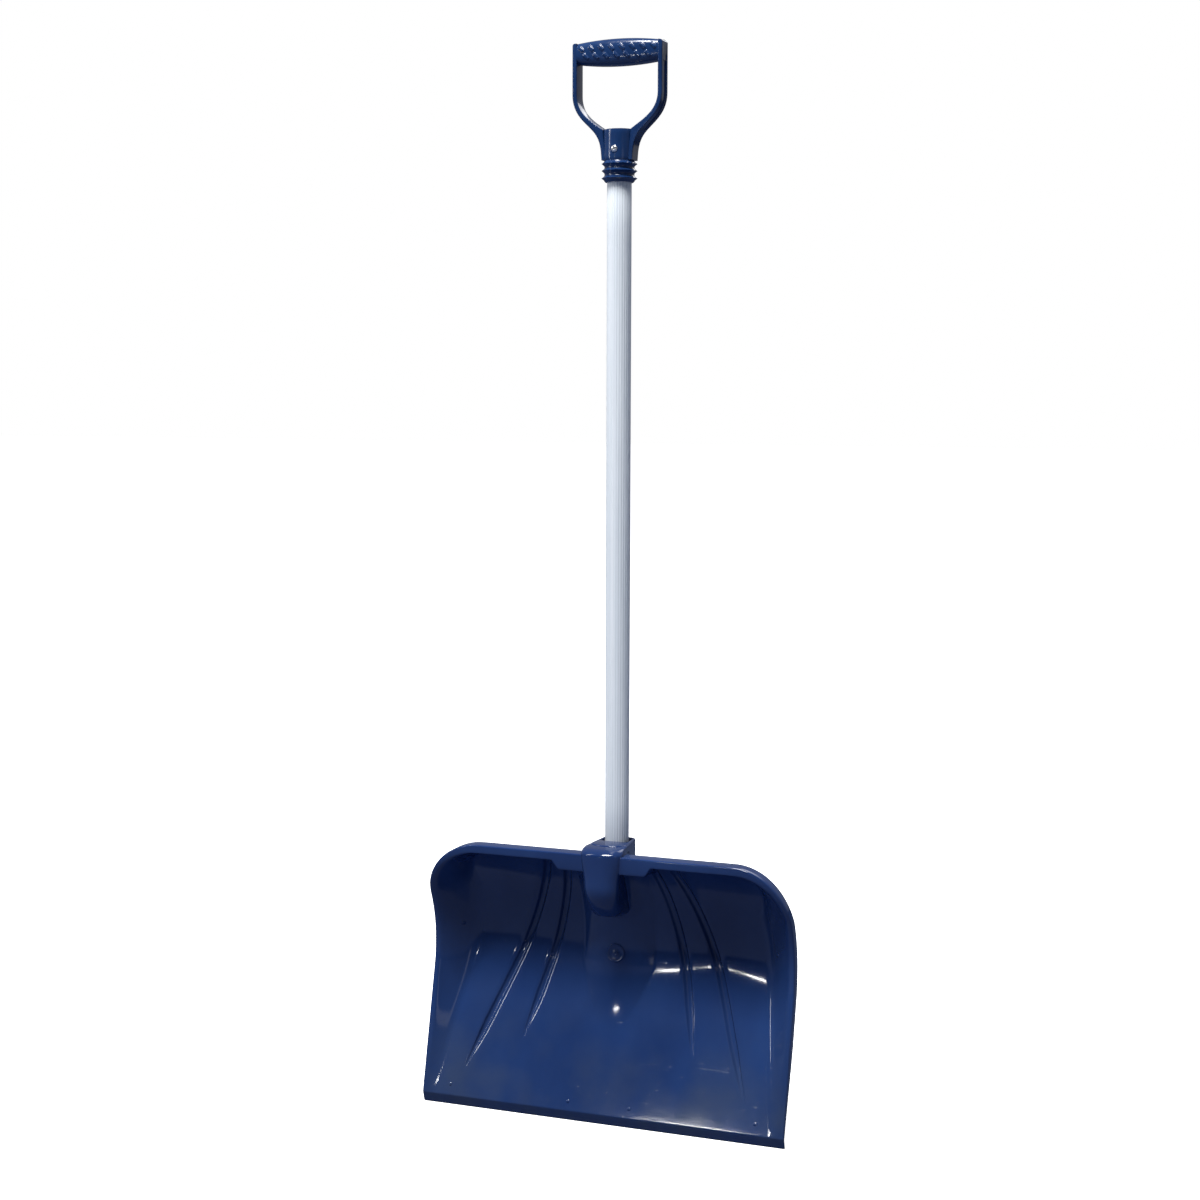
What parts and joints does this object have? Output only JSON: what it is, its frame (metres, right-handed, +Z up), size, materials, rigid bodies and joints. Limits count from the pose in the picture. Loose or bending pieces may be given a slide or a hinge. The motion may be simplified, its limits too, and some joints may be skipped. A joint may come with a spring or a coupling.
{
  "type": "snow shovel",
  "caption": "Long-handled snow shovel: wide curved plastic scoop on a fluted straight shaft with a D-shaped grip.",
  "frame": {"origin": "middle of the flat underside of the blade's scraping lip, on the object's plane of symmetry", "axes": "+Z up along the shaft from the scraping edge to the grip, -Y out of the scoop's hollow front, +X to the right seen from the front"},
  "size_m": [0.457, 0.0874, 1.267],
  "materials": {
    "blade_plastic": "smooth glossy moulded polypropylene, dark navy",
    "core_steel": "plain drawn tube",
    "sleeve_plastic": "satin light blue-grey, fluted lengthwise",
    "grip_plastic": "semi-gloss moulded plastic, mid blue",
    "screw_zinc": "bright zinc plating"
  },
  "bodies": {
    "root": {"blade": "blade_plastic", "shaft_core": "core_steel", "shaft_sleeve": "sleeve_plastic", "d_grip": "grip_plastic", "grip_screw": "screw_zinc", "blade_screw": "screw_zinc"}
  },
  "joints": []
}
